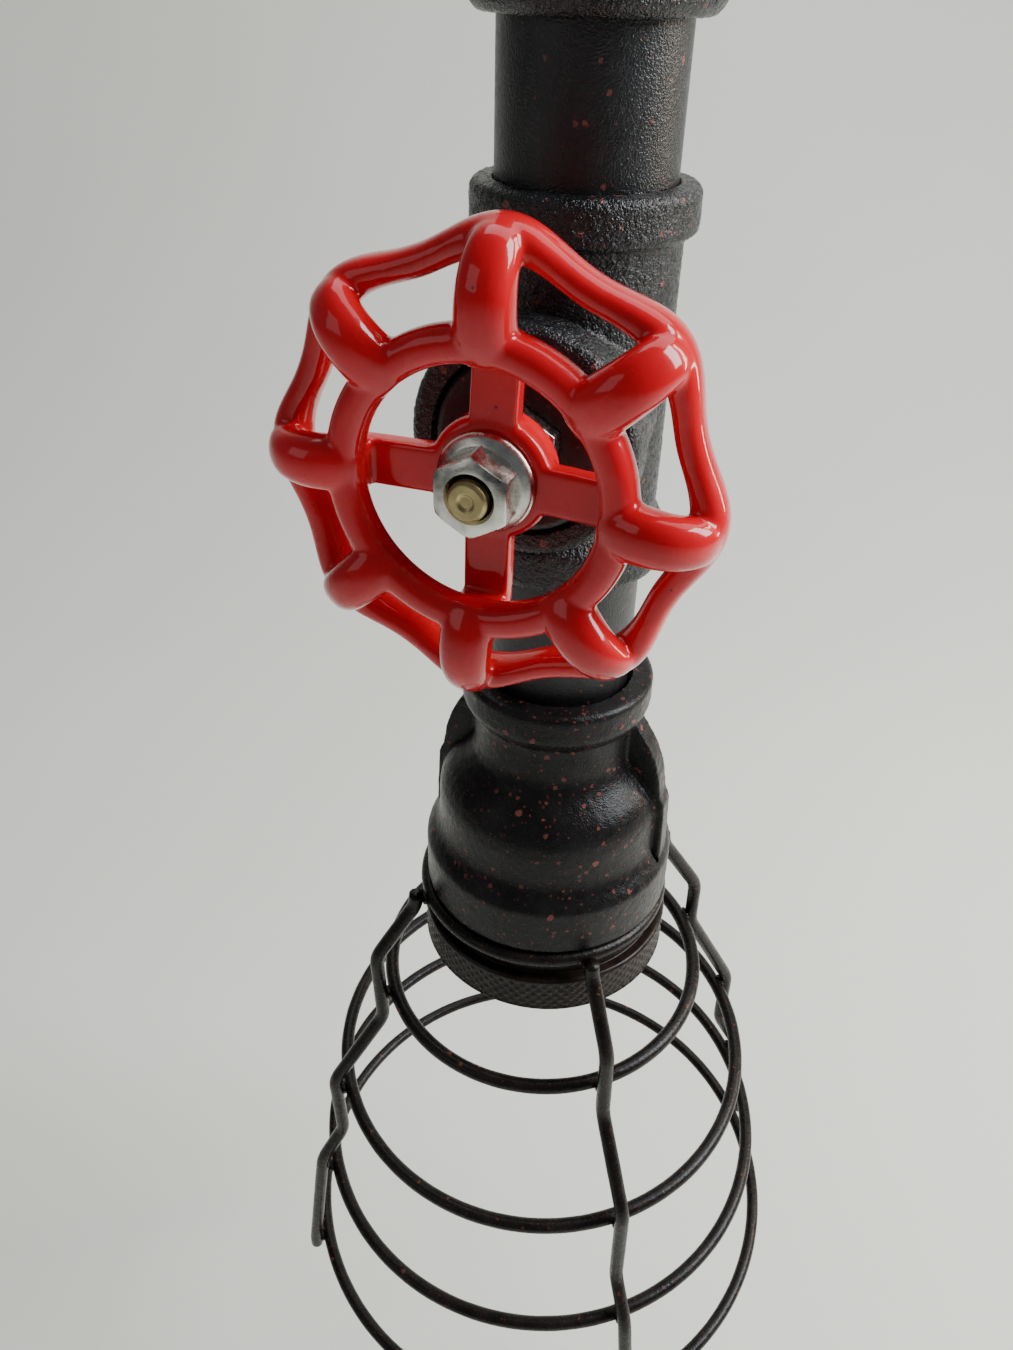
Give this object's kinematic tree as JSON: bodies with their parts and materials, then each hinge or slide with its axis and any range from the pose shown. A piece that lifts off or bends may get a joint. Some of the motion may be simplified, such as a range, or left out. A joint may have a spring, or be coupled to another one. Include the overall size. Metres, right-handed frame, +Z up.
{
  "type": "pipe lamp with valve handwheel",
  "caption": "Hanging lamp made of black threaded pipe fittings, with a red valve handwheel that works a rotary switch and a flared wire guard under a bell reducer.",
  "frame": {"origin": "centre of the top coupling's upper end face, on the pipe's axis, which the supply pipe holds up", "axes": "+Z up along the pipe run; the tee's branch and handwheel face forward, towards -Y and a little towards -X"},
  "size_m": [0.1246, 0.1254, 0.307],
  "materials": {
    "cast_black": "rough black malleable iron",
    "pipe_black": "satin black",
    "enamel_red": "high-gloss red enamel",
    "zinc": "zinc plated, lightly brushed",
    "brass": "dull cut brass",
    "bakelite": "satin black moulding",
    "ceramic": "unglazed",
    "wire_black": "satin brown-black"
  },
  "bodies": {
    "pipe_run": {"top_coupling": "cast_black", "upper_nipple": "pipe_black", "tee": "cast_black", "branch_bushing": "cast_black", "switch_cover": "bakelite", "switch_locknut": "zinc", "switch_housing": "bakelite", "switch_contact_a": "brass", "switch_contact_b": "brass", "lower_nipple": "pipe_black", "bell_reducer": "cast_black", "support_disc": "zinc", "holder_locknut": "zinc", "holder_rod": "zinc", "holder_cap": "bakelite", "holder_insert": "ceramic", "centre_contact": "brass", "side_contact": "brass", "terminal_screw_a": "brass", "terminal_screw_b": "brass", "screw_shell": "brass", "holder_skirt": "bakelite"},
    "wheel": {"handwheel": "enamel_red", "flange_nut": "zinc", "spindle": "brass", "switch_rotor": "bakelite"},
    "guard": {"guard_hoop": "wire_black", "guard_ring_1": "wire_black", "guard_ring_2": "wire_black", "guard_ring_3": "wire_black", "guard_ring_4": "wire_black", "guard_wire_right": "wire_black", "guard_wire_back": "wire_black", "guard_wire_left": "wire_black", "guard_wire_front": "wire_black"},
    "ring": {"shade_ring": "bakelite"}
  },
  "joints": [
    {"name": "wheel_turn", "type": "hinge", "parent": "pipe_run", "child": "wheel", "pos_m": [0, 0, -0.0715], "axis": [0.284, 0.9588, 0], "range_deg": [0, 289]},
    {"name": "guard_drop", "type": "slide", "parent": "pipe_run", "child": "guard", "axis": [0, 0, -1], "range_m": [0, 0.006]},
    {"name": "ring_turn", "type": "hinge", "parent": "guard", "child": "ring", "pos_m": [0, 0, -0.1867], "axis": [0, 0, -1], "range_deg": [0, 720]}
  ],
  "couplings": [
    {"joint": "ring_turn", "follows": "guard_drop", "rad_per_m": 2094.4}
  ]
}
